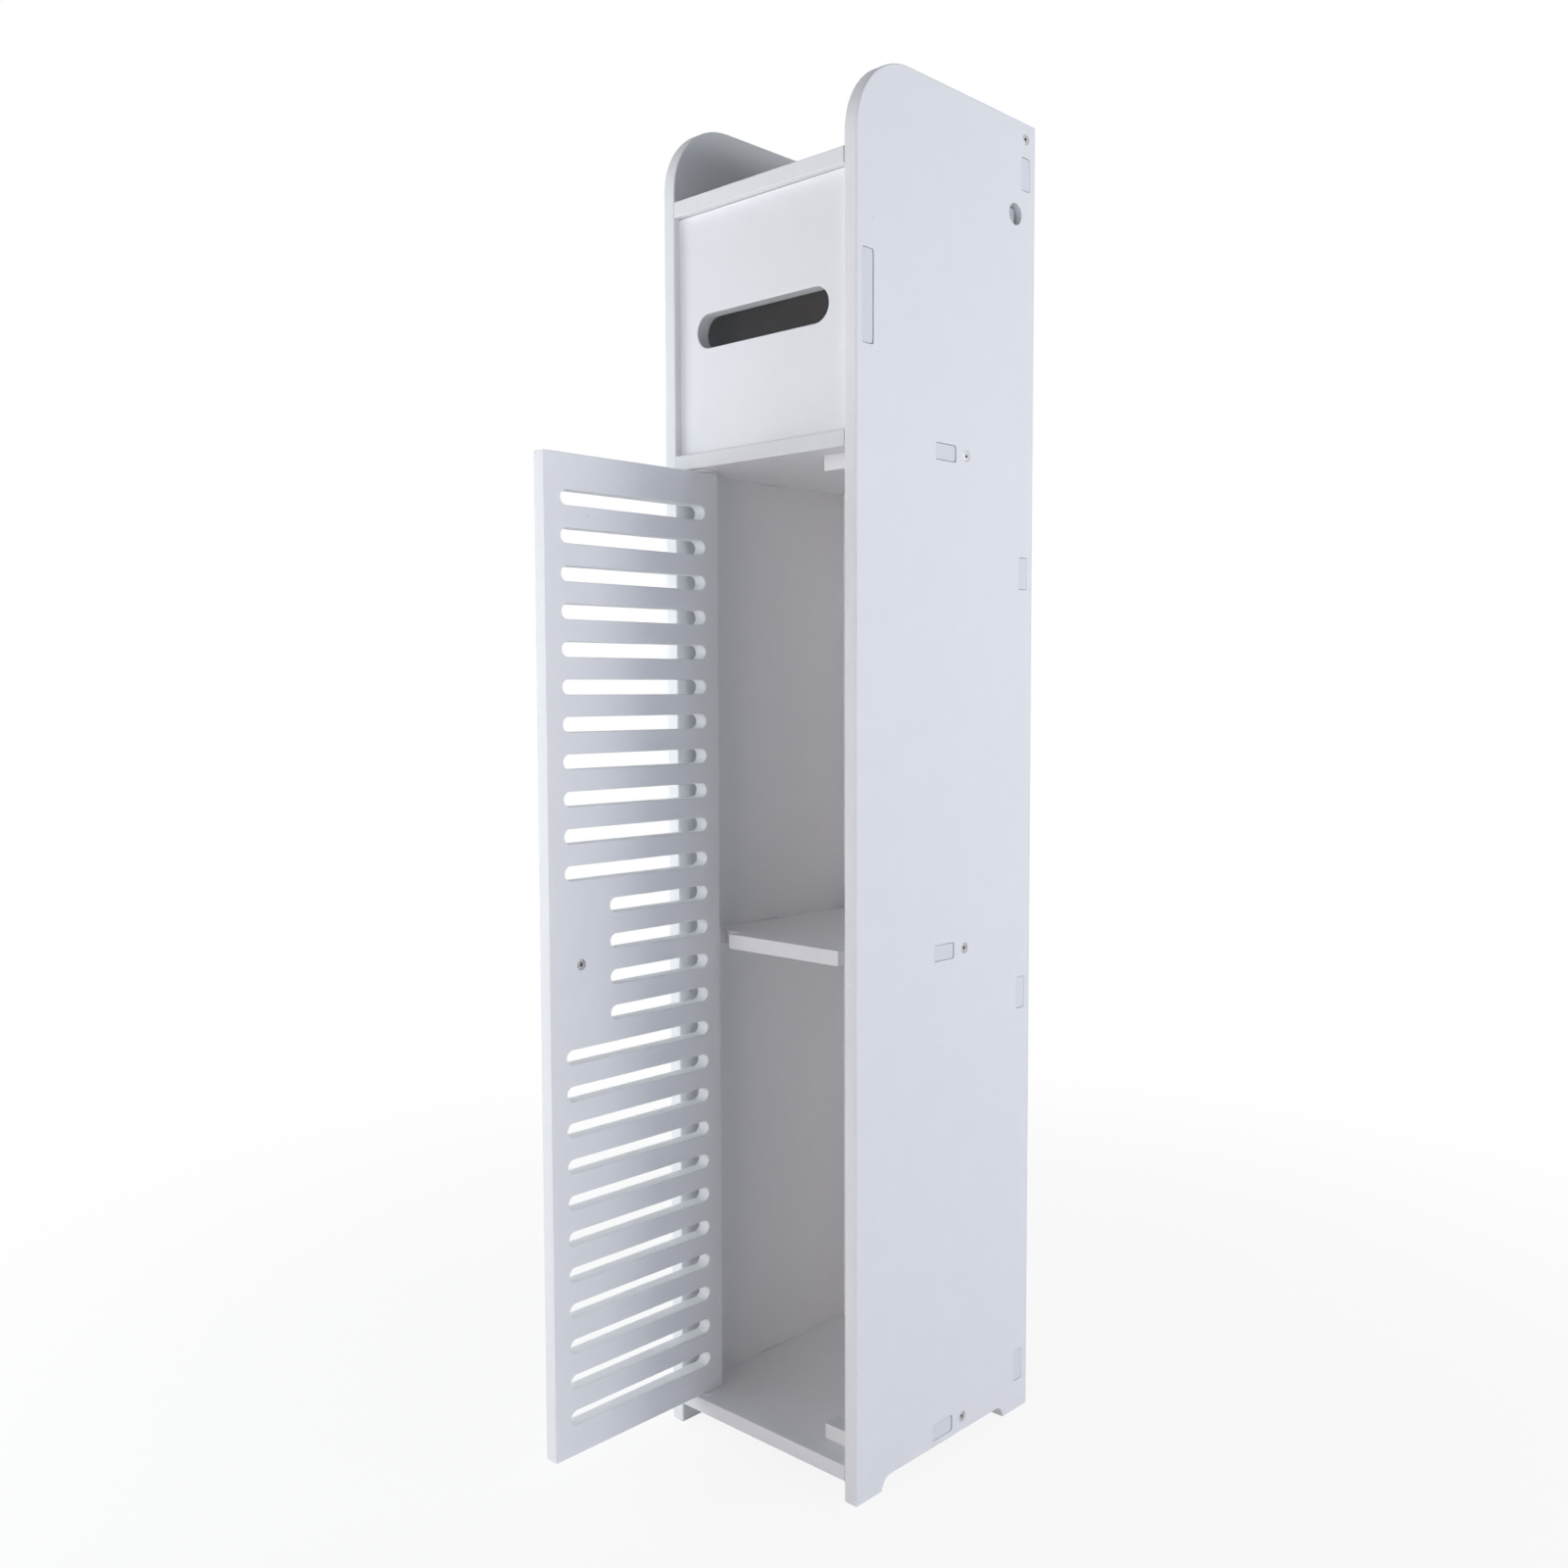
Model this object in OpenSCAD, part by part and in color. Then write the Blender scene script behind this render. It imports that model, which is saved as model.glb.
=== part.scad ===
// Slim bathroom side cabinet made of white foamed board.
// Knock-down carcass: each board hooks through the two side panels with tenons,
// and countersunk screws pull the joints tight.
// Lengths are in millimetres. X runs across the width, Y from front to back, Z up.
// The origin is on the floor, in the middle of the carcass.

/* [Carcass] */
// Width over the two side panels
cabinet_w = 152; // [136:1:200]
// Depth of the side panels
cabinet_d = 168; // [150:1:220]
// Height of the side panels
cabinet_h = 800; // [640:10:1000]
// Thickness of every board
board_t = 9; // [8:0.5:12]
// Radius of the top front corner of each side panel
corner_r = 45; // [5:1:60]
// Distance from the rear of the side panels to the back panel
back_inset = 6; // [0:0.5:12]

/* [Feet] */
// Length of each front foot along the depth
foot_front = 23; // [15:1:40]
// Length of each rear foot along the depth
foot_rear = 26; // [15:1:40]
// Height of the arch between the feet
arch_h = 7.5; // [3:0.5:10]
// Radius of the two upper corners of the arch
arch_r = 7.5; // [1:0.5:7.5]

/* [Boards across] */
// Height of the underside of the bottom board
bottom_z = 12; // [11:0.5:40]
// Height of the underside of the middle shelf
shelf_z = 300; // [120:5:400]
// Clear height of the tissue compartment, from its floor to the lid
tissue_h = 140.5; // [110:0.5:180]
// Setback of the middle shelf from the front of the side panels
shelf_setback = 20.5; // [18:0.5:40]
// Width of the notch in each front corner of the middle shelf
shelf_notch_w = 22.6; // [21:0.1:40]
// Depth of the notch in each front corner of the middle shelf
shelf_notch_d = 10.5; // [2:0.5:20]

/* [Tenons] */
// Width of the tenons of the level boards
tenon_w = 18.5; // [10:0.5:24]
// Distance from the front of the side panels to these tenons
tenon_y = 69.5; // [50:0.5:75]
// Height of the tenons of the back panel
back_tenon_h = 19; // [10:0.5:24]
// Distance from the floor to the middle of the lowest tenon of the back panel
back_tenon_low = 29; // [28:0.5:60]
// Distance from the cabinet top to the middle of the highest tenon of the back panel
back_tenon_high = 30.5; // [28:0.5:35]
// Distance between an end tenon of the back panel and the next one
back_tenon_step = 240; // [100:5:250]
// Height of the tenons of the tissue front
plate_tenon_h = 50; // [20:1:60]
// Distance from the floor of the tissue compartment to these tenons
plate_tenon_z = 46; // [10:1:50]
// Corner radius that the cutter leaves in the mortises
mortise_r = 1.6; // [0.5:0.1:3]
// Gap in front of and behind each tenon, where it fits tightly
mortise_gap = 0.05; // [0.05:0.05:0.4]
// Gap above and below each tenon
mortise_gap_z = 0.4; // [0.05:0.05:0.5]
// Room behind the tenons of the level boards and the tissue front, to slide them in
mortise_play = 0.8; // [0:0.05:0.9]
// Depth of the tenon ends below the outer faces
tenon_setback = 0.2; // [0:0.1:1]

/* [Tissue front] */
// Recess of the tissue front behind the front of the side panels
plate_recess = 4.5; // [0:0.5:12]
// Length of the slot that tissues are pulled through
tissue_slot_l = 104; // [60:1:108]
// Height of that slot
tissue_slot_w = 20; // [10:1:40]
// Distance from the floor of the tissue compartment to the middle of the slot
tissue_slot_z = 71; // [35:1:85]

/* [Lid] */
// Distance from the top of the side panels down to the lid
lid_drop = 51.5; // [46:0.5:58]
// Distance from the rear of the side panels to the lid axis
lid_axis_in = 21; // [20:0.5:30]
// Gap at each side of the lid
lid_side_gap = 0.4; // [0.2:0.1:1.5]
// Gap between the lid and the edge of the tissue front that it rests on
lid_rest_gap = 0.3; // [0.1:0.1:0.6]
// Width of the square lugs that the lid turns on
lug_w = 9.2; // [7:0.1:11]
// Depth of the lug ends below the outer faces
lug_setback = 4; // [0.2:0.1:5]
// Diameter of the neck between each lug and the lid
lug_neck_d = 7.6; // [5:0.1:7.8]
// Angle at which the lid stands open
lid_open = 0; // [0:5:90]

/* [Door] */
// Recess of the closed door behind the front of the side panels
door_recess = 7; // [5:0.5:10]
// Distance from the pin axis to the hinge edge of the door
hinge_edge = 10.2; // [8:0.1:14]
// Radius of the two edges of the door beside the hinge
hinge_edge_r = 2.5; // [0.5:0.1:3.5]
// Gap between the turning hinge edge and the side panel
swing_gap = 0.25; // [0.2:0.05:1]
// Gap between the free edge of the door and the side panel
free_gap = 0.8; // [0.5:0.1:2]
// Gap above the upper washer
door_top_gap = 0.1; // [0.05:0.05:0.5]
// Angle at which the door stands open
door_open = 90; // [0:5:115]

/* [Door slots] */
// Number of slots in the door
slot_count = 26; // [8:2:30]
// Number of shorter slots beside the knob
short_slot_count = 4; // [2:2:8]
// Height of each slot
slot_w = 8.5; // [4:0.5:10]
// Distance from the hinge edge to the slots
slot_from_hinge = 12.5; // [11:0.5:25]
// Distance from the free edge to the long slots
slot_from_free = 11.2; // [8:0.1:20]
// Distance from the free edge to the short slots
short_slot_from_free = 43.6; // [36:0.1:60]
// Distance from the top of the door to the middle of the first slot
slot_from_top = 24.3; // [18:0.1:40]
// Distance from the bottom of the door to the middle of the last slot
slot_from_bottom = 21.7; // [18:0.1:40]

/* [Door pivots] */
// Diameter of the pivot pins
pin_d = 5; // [3:0.1:5]
// Depth of each pin in the door
pin_in_door = 10; // [6:0.5:14]
// Depth of each pin in the board above or below the door
pin_in_board = 6.5; // [4:0.5:7]
// Outer diameter of the washers round the pins
washer_d = 18; // [10:0.5:20]
// Thickness of the washers
washer_t = 1; // [0.5:0.1:1.5]
// Radial clearance of everything that turns in a bore
running_gap = 0.05; // [0.02:0.01:0.1]
// Gap between the end of a pin or screw and the end of its hole
end_gap = 0.3; // [0.2:0.1:1]

/* [Door stops] */
// Length of each stop block
stop_l = 29; // [15:0.5:40]
// Depth of each stop block
stop_d = 12; // [8:0.5:20]
// Gap between a stop block and the side panel
stop_side_gap = 0.5; // [0:0.1:2]
// Gap between a stop block and the closed door
stop_door_gap = 0.3; // [0.1:0.1:0.5]
// Width of the bevel along the upright edges of each stop block
stop_bevel = 0.8; // [0.2:0.1:2]

/* [Knob] */
// Distance from the free edge of the door to the knob axis
knob_from_free = 22.2; // [16:0.1:26]
// Diameter of the knob head
knob_d = 18; // [14:0.5:24]
// Height of the knob above the door
knob_h = 16; // [14:0.5:24]
// Diameter of the knob foot
knob_foot_d = 12; // [10:0.5:14]
// Diameter of the knob neck
knob_neck_d = 8.5; // [8:0.1:10]
// Height of the knob foot
knob_foot_h = 2; // [1:0.1:3]
// Thickness of the knob head at its rim
knob_rim_h = 3; // [2:0.1:4]

/* [Screws] */
// Shank diameter of every screw
screw_d = 3.5; // [2.5:0.1:4]
// Head diameter of every screw
screw_head_d = 6.2; // [5:0.1:7]
// Length of the screws in the side panels
side_screw_l = 25; // [18:1:40]
// Length of the screw in the knob
knob_screw_l = 18; // [14:1:20]
// Depth of the heads below the board
screw_sink = 0.2; // [0:0.1:1]
// Length of the point of each screw
screw_point_l = 4; // [2:0.5:8]
// Gap round the screws
screw_gap = 0.1; // [0.05:0.05:0.2]
// Distance from the front of the side panels to the screws of the level boards
screw_y = 99; // [96:0.5:110]
// Distance from the top to the screws of the back panel
back_screw_drop = 9.5; // [6:0.5:12]
// Width of the arms of the cross recess
recess_w = 0.9; // [0.5:0.1:1.2]
// Span of the cross recess
recess_l = 3.4; // [2:0.1:4]
// Depth of the cross recess
recess_h = 1.2; // [0.5:0.1:1.5]

/* [Hidden] */
$fn = 64;

// Overrun of every cut beyond the face that it opens
overrun = 1;

// Colours
board_white = [0.94, 0.95, 0.97];
edge_white = [0.91, 0.92, 0.94];
plastic_white = [0.97, 0.97, 0.98];
screw_steel = [0.72, 0.73, 0.75];

// Planes of the carcass
outer_x = cabinet_w / 2;
inner_x = outer_x - board_t;
front_y = -cabinet_d / 2;
rear_y = cabinet_d / 2;
back_y = rear_y - back_inset - board_t;
bay_w = 2 * inner_x;
tenon_end_x = outer_x - tenon_setback;

// Levels of the boards, at their undersides, and of the lid axis
lid_z = cabinet_h - lid_drop - board_t;
divider_z = lid_z - tissue_h - board_t;
tissue_floor_z = divider_z + board_t;
bay_floor_z = bottom_z + board_t;
lid_axis_y = rear_y - lid_axis_in;
lid_axis_z = lid_z + board_t / 2;
lid_bore_r = norm([lug_w, board_t]) / 2 + running_gap;

// Places of the tenons
level_tenon_y = front_y + tenon_y + tenon_w / 2;
level_heights = [bottom_z, shelf_z, divider_z];
back_tenon_y = back_y + board_t / 2;
back_low = back_tenon_low;
back_high = cabinet_h - back_tenon_high;
back_heights = [back_low, back_low + back_tenon_step, back_high - back_tenon_step, back_high];
plate_y = front_y + plate_recess + board_t / 2;
plate_tenon_mid = tissue_floor_z + plate_tenon_z + plate_tenon_h / 2;
plate_h = tissue_h - lid_rest_gap;

// The closed door, and the circle that its hinge edge sweeps
pivot_y = front_y + door_recess + board_t / 2;
sweep_r = norm([hinge_edge - hinge_edge_r, board_t / 2 - hinge_edge_r]) + hinge_edge_r;
pivot_x = -inner_x + sweep_r + swing_gap;
door_x0 = pivot_x - hinge_edge;
door_x1 = inner_x - free_gap;
door_z0 = bay_floor_z + washer_t;
door_z1 = divider_z - washer_t - door_top_gap;
door_w = door_x1 - door_x0;
door_h = door_z1 - door_z0;
slot_z0 = door_z0 + slot_from_bottom;
slot_z1 = door_z1 - slot_from_top;
slot_pitch = (slot_z1 - slot_z0) / (slot_count - 1);
knob_x = door_x1 - knob_from_free;
knob_z = (slot_z0 + slot_z1) / 2;
pin_r = pin_d / 2;
bore_r = pin_r + running_gap;

// Screws
screw_head_h = (screw_head_d - screw_d) / 2;
level_screw_y = front_y + screw_y;
back_screw_z = cabinet_h - back_screw_drop;

// Outlines

// A rectangle with rounded corners, centred
module rounded_rect(w, h, r) {
    square([w - 2 * r, h], center = true);
    square([w, h - 2 * r], center = true);
    for (sx = [-1, 1], sy = [-1, 1])
        translate([sx * (w / 2 - r), sy * (h / 2 - r)])
            circle(r);
}

// A slot with round ends, from x0 to x1, centred on the X axis
module slot_outline(x0, x1, w) {
    translate([x0 + w / 2, -w / 2])
        square([x1 - x0 - w, w]);
    for (x = [x0 + w / 2, x1 - w / 2])
        translate([x, 0])
            circle(w / 2);
}

// The side panel seen from the right: depth along X, height along Y
module side_outline() {
    difference() {
        union() {
            translate([front_y + corner_r, 0])
                square([cabinet_d - corner_r, cabinet_h]);
            translate([front_y, 0])
                square([corner_r, cabinet_h - corner_r]);
            translate([front_y + corner_r, cabinet_h - corner_r])
                circle(corner_r);
        }
        arch_outline();
    }
}

// The arch between the feet, with two round upper corners
module arch_outline() {
    y0 = front_y + foot_front;
    y1 = rear_y - foot_rear;
    r = min(arch_r, arch_h);
    translate([y0, -overrun])
        square([y1 - y0, arch_h - r + overrun]);
    translate([y0 + r, -overrun])
        square([y1 - y0 - 2 * r, arch_h + overrun]);
    for (y = [y0 + r, y1 - r])
        translate([y, arch_h - r])
            circle(r);
}

// Placing

// Stands an outline drawn in depth and height across the width, from x0 to x1
module across(x0, x1) {
    translate([x0, 0, 0])
        rotate([90, 0, 90])
            linear_extrude(x1 - x0)
                children();
}

// The children and their mirror image on the other side of the cabinet
module both_sides() {
    children();
    mirror([1, 0, 0])
        children();
}

// Turns what is drawn closed to the angle at which the door stands
module door_place() {
    translate([pivot_x, pivot_y, 0])
        rotate([0, 0, -door_open])
            translate([-pivot_x, -pivot_y, 0])
                children();
}

// Turns what is drawn closed to the angle at which the lid stands
module lid_place() {
    translate([0, lid_axis_y, lid_axis_z])
        rotate([-lid_open, 0, 0])
            translate([0, -lid_axis_y, -lid_axis_z])
                children();
}

// Fasteners

// A countersunk screw with its head at Z = 0 and its point down
module screw(length) {
    difference() {
        union() {
            translate([0, 0, -screw_head_h])
                cylinder(h = screw_head_h, r1 = screw_d / 2, r2 = screw_head_d / 2);
            translate([0, 0, screw_point_l - length])
                cylinder(h = length - screw_point_l - screw_head_h, d = screw_d);
            translate([0, 0, -length])
                cylinder(h = screw_point_l, r1 = 0, r2 = screw_d / 2);
        }
        for (a = [0, 90])
            rotate([0, 0, a])
                translate([-recess_l / 2, -recess_w / 2, -recess_h])
                    cube([recess_l, recess_w, recess_h + overrun]);
    }
}

// The hole for such a screw, opening at Z = 0
module screw_hole(length) {
    head_r = screw_head_d / 2 + screw_gap;
    hole_r = screw_d / 2 + screw_gap;
    translate([0, 0, -screw_sink])
        cylinder(h = screw_sink + overrun, r = head_r);
    translate([0, 0, -screw_sink - screw_head_h])
        cylinder(h = screw_head_h, r1 = hole_r, r2 = head_r);
    translate([0, 0, -screw_sink - length - end_gap])
        cylinder(h = length + end_gap, r = hole_r);
}

// Places a screw or its hole in the right side panel, with its axis along X
module in_side(y, z, sink) {
    translate([outer_x - sink, y, z])
        rotate([0, 90, 0])
            children();
}

// The holes of one level board's screws
module level_screw_hole(z) {
    in_side(level_screw_y, z + board_t / 2, 0)
        screw_hole(side_screw_l);
}

module back_screw_hole() {
    in_side(back_tenon_y, back_screw_z, 0)
        screw_hole(side_screw_l);
}

// A level board's screws, one in each side panel
module level_screws(z) {
    color(screw_steel)
        both_sides()
            in_side(level_screw_y, z + board_t / 2, screw_sink)
                screw(side_screw_l);
}

// Tenons and mortises

// A tenon on the right end of a board, rooted half its thickness inside it
module tenon(y, z, w, h) {
    across(inner_x - board_t / 2, tenon_end_x)
        translate([y, z])
            rounded_rect(w, h, mortise_r - min(mortise_gap, mortise_gap_z));
}

// The mortise for it in the right side panel, with room behind the tenon
module mortise(y, z, w, h, play) {
    across(inner_x - overrun, outer_x + overrun)
        translate([y + play / 2, z])
            rounded_rect(w + 2 * mortise_gap + play, h + 2 * mortise_gap_z, mortise_r);
}

// Carcass

module side_panel() {
    difference() {
        across(inner_x, outer_x)
            side_outline();
        for (z = level_heights) {
            mortise(level_tenon_y, z + board_t / 2, tenon_w, board_t, mortise_play);
            level_screw_hole(z);
        }
        for (z = back_heights)
            mortise(back_tenon_y, z, board_t, back_tenon_h, 0);
        mortise(plate_y, plate_tenon_mid, board_t, plate_tenon_h, mortise_play);
        back_screw_hole();
        translate([inner_x - overrun, lid_axis_y, lid_axis_z])
            rotate([0, 90, 0])
                cylinder(h = board_t + 2 * overrun, r = lid_bore_r);
    }
}

module side_panel_right() {
    color(board_white)
        side_panel();
}

module side_panel_left() {
    color(board_white)
        mirror([1, 0, 0])
            side_panel();
}

module back_panel() {
    color(board_white)
        difference() {
            union() {
                translate([-inner_x, back_y, bottom_z])
                    cube([bay_w, board_t, cabinet_h - bottom_z]);
                both_sides()
                    for (z = back_heights)
                        tenon(back_tenon_y, z, board_t, back_tenon_h);
            }
            both_sides()
                back_screw_hole();
        }
}

// A level board from y0 back to the back panel, with a tenon at each end
module level_board(y0, z) {
    difference() {
        union() {
            translate([-inner_x, y0, z])
                cube([bay_w, back_y - y0, board_t]);
            both_sides()
                tenon(level_tenon_y, z + board_t / 2, tenon_w, board_t);
        }
        both_sides()
            level_screw_hole(z);
    }
}

// The blind bore for a pivot pin, from height z to the face at z1
module pivot_bore(z, z1) {
    translate([pivot_x, pivot_y, z])
        cylinder(h = z1 - z, r = bore_r);
}

module bottom_board() {
    color(board_white)
        difference() {
            level_board(front_y, bottom_z);
            pivot_bore(bay_floor_z - pin_in_board - end_gap, bay_floor_z + overrun);
        }
}

module divider_board() {
    color(board_white)
        difference() {
            level_board(front_y, divider_z);
            pivot_bore(divider_z - overrun, divider_z + pin_in_board + end_gap);
        }
}

module middle_shelf() {
    color(board_white)
        difference() {
            level_board(front_y + shelf_setback, shelf_z);
            both_sides()
                translate([inner_x - shelf_notch_w, front_y + shelf_setback - overrun, shelf_z - overrun])
                    cube([shelf_notch_w + overrun, shelf_notch_d + overrun, board_t + 2 * overrun]);
        }
}

// The board in front of the tissue compartment
module tissue_front() {
    color(board_white)
        difference() {
            union() {
                translate([-inner_x, plate_y - board_t / 2, tissue_floor_z])
                    cube([bay_w, board_t, plate_h]);
                both_sides()
                    tenon(plate_y, plate_tenon_mid, board_t, plate_tenon_h);
            }
            translate([0, plate_y + board_t / 2 + overrun, tissue_floor_z + tissue_slot_z])
                rotate([90, 0, 0])
                    linear_extrude(board_t + 2 * overrun)
                        slot_outline(-tissue_slot_l / 2, tissue_slot_l / 2, tissue_slot_w);
        }
}

// Blocks behind the free edge of the door, under the divider and on the bottom board
module stop_block(z) {
    x1 = inner_x - stop_side_gap;
    x0 = x1 - stop_l;
    y0 = pivot_y + board_t / 2 + stop_door_gap;
    y1 = y0 + stop_d;
    b = stop_bevel;
    color(edge_white)
        translate([0, 0, z])
            linear_extrude(board_t)
                polygon([
                    [x0 + b, y0], [x1 - b, y0], [x1, y0 + b], [x1, y1 - b],
                    [x1 - b, y1], [x0 + b, y1], [x0, y1 - b], [x0, y0 + b]
                ]);
}

module stop_block_top() {
    stop_block(divider_z - board_t);
}

module stop_block_bottom() {
    stop_block(bay_floor_z);
}

// Lid: one board with a round rear edge, and at each side a square lug on a round neck.
// The lugs are wholly inside the side panels, so that their corners pass the back panel.

module lid() {
    lid_x = inner_x - lid_side_gap;
    color(board_white)
        lid_place()
            union() {
                across(-lid_x, lid_x)
                    union() {
                        translate([front_y, lid_z])
                            square([lid_axis_y - front_y, board_t]);
                        translate([lid_axis_y, lid_axis_z])
                            circle(board_t / 2);
                    }
                both_sides() {
                    across(lid_x - board_t / 2, inner_x + board_t / 3)
                        translate([lid_axis_y, lid_axis_z])
                            circle(d = lug_neck_d);
                    across(inner_x + lid_side_gap, outer_x - lug_setback)
                        translate([lid_axis_y - lug_w / 2, lid_z])
                            square([lug_w, board_t]);
                }
            }
}

// Door

// The door seen from above: rounded at the hinge edge, square at the free edge
module door_plan() {
    r = hinge_edge_r;
    translate([door_x0 + r, pivot_y - board_t / 2])
        square([door_w - r, board_t]);
    translate([door_x0, pivot_y - board_t / 2 + r])
        square([r, board_t - 2 * r]);
    for (side = [-1, 1])
        translate([door_x0 + r, pivot_y + side * (board_t / 2 - r)])
            circle(r);
}

// All the slots, cut through the closed door
module door_slots() {
    middle = (slot_count - 1) / 2;
    translate([0, pivot_y + board_t / 2 + overrun, 0])
        rotate([90, 0, 0])
            linear_extrude(board_t + 2 * overrun)
                for (i = [0 : slot_count - 1]) {
                    short = abs(i - middle) < short_slot_count / 2;
                    from_free = short ? short_slot_from_free : slot_from_free;
                    translate([0, slot_z0 + i * slot_pitch])
                        slot_outline(door_x0 + slot_from_hinge, door_x1 - from_free, slot_w);
                }
}

// Places the knob's screw or its hole, with its head at the inner face of the door
module at_knob(sink) {
    translate([knob_x, pivot_y + board_t / 2 - sink, knob_z])
        rotate([-90, 0, 0])
            children();
}

module door() {
    color(board_white)
        door_place()
            difference() {
                translate([0, 0, door_z0])
                    linear_extrude(door_h)
                        door_plan();
                door_slots();
                pivot_bore(door_z0 - overrun, door_z0 + pin_in_door + end_gap);
                pivot_bore(door_z1 - pin_in_door - end_gap, door_z1 + overrun);
                at_knob(0)
                    screw_hole(knob_screw_l);
            }
}

// A plastic pin on the door axis, from z0 to z1
module pivot_pin(z0, z1) {
    color(plastic_white)
        translate([pivot_x, pivot_y, z0])
            cylinder(h = z1 - z0, r = pin_r);
}

module door_pin_top() {
    pivot_pin(door_z1 - pin_in_door, divider_z + pin_in_board);
}

module door_pin_bottom() {
    pivot_pin(bay_floor_z - pin_in_board, door_z0 + pin_in_door);
}

// A flat washer round a pin, lying on the face at height z
module pivot_washer(z) {
    color(plastic_white)
        translate([pivot_x, pivot_y, z])
            difference() {
                cylinder(h = washer_t, d = washer_d);
                translate([0, 0, -overrun])
                    cylinder(h = washer_t + 2 * overrun, r = bore_r);
            }
}

module door_washer_top() {
    pivot_washer(door_z1);
}

module door_washer_bottom() {
    pivot_washer(bay_floor_z);
}

// A turned knob on the outer face of the door: foot, neck and domed head
module knob() {
    rim_z = knob_h - knob_rim_h;
    dome_r = knob_d;
    dome_drop = dome_r - sqrt(dome_r * dome_r - knob_d * knob_d / 4);
    color(plastic_white)
        door_place()
            difference() {
                translate([knob_x, pivot_y - board_t / 2, knob_z])
                    rotate([90, 0, 0])
                        union() {
                            cylinder(h = knob_foot_h, d = knob_foot_d);
                            cylinder(h = rim_z, d = knob_neck_d);
                            translate([0, 0, knob_foot_h])
                                cylinder(h = rim_z - dome_drop - knob_foot_h, d1 = knob_neck_d, d2 = knob_d);
                            intersection() {
                                translate([0, 0, rim_z - dome_drop])
                                    cylinder(h = knob_rim_h + dome_drop, d = knob_d);
                                translate([0, 0, knob_h - dome_r])
                                    sphere(dome_r);
                            }
                        }
                at_knob(0)
                    screw_hole(knob_screw_l);
            }
}

module knob_screw() {
    color(screw_steel)
        door_place()
            at_knob(screw_sink)
                screw(knob_screw_l);
}

// Screws in the side panels

module divider_screws() {
    level_screws(divider_z);
}

module shelf_screws() {
    level_screws(shelf_z);
}

module bottom_board_screws() {
    level_screws(bottom_z);
}

module back_panel_screws() {
    color(screw_steel)
        both_sides()
            in_side(back_tenon_y, back_screw_z, screw_sink)
                screw(side_screw_l);
}

side_panel_right();
side_panel_left();
back_panel();
bottom_board();
middle_shelf();
divider_board();
tissue_front();
lid();
door();
door_pin_top();
door_pin_bottom();
door_washer_top();
door_washer_bottom();
stop_block_top();
stop_block_bottom();
knob();
knob_screw();
divider_screws();
shelf_screws();
bottom_board_screws();
back_panel_screws();
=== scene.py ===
"""Finishes, hardware detail, stage, light and camera of the slim bathroom side cabinet."""

import logging
import math
from dataclasses import dataclass
from enum import Enum

import bmesh
import bpy
from mathutils import Matrix, Vector


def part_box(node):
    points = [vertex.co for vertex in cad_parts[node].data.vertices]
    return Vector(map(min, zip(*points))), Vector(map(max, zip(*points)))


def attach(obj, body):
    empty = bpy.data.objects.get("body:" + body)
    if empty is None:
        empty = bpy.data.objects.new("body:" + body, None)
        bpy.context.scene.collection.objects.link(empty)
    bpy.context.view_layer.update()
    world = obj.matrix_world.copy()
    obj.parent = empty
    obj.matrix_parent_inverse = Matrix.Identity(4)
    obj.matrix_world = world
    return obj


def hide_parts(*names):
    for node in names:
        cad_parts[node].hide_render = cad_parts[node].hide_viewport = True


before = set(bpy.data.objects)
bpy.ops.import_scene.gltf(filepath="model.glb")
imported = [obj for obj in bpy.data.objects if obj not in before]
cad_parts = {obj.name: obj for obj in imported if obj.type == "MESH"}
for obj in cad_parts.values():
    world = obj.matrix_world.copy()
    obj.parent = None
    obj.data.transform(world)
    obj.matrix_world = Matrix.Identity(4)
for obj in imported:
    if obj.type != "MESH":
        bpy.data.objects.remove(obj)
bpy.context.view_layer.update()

LOG = logging.getLogger("cabinet")
MM = 0.001
WHITE = (1.0, 1.0, 1.0)
# A distance past every piece
FAR = 1.0
# Width of a board's eased edge
EASED = 0.5 * MM

Colour = tuple[float, float, float]
Place = tuple[float, float, float]
Loop = list[bmesh.types.BMVert]


class SkinAxis(Enum):
    """The direction in which a board's two broad faces look."""

    ACROSS = (1.0, 0.0, 0.0)
    DEPTH = (0.0, 1.0, 0.0)
    UP = (0.0, 0.0, 1.0)


# Shader helpers


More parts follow.
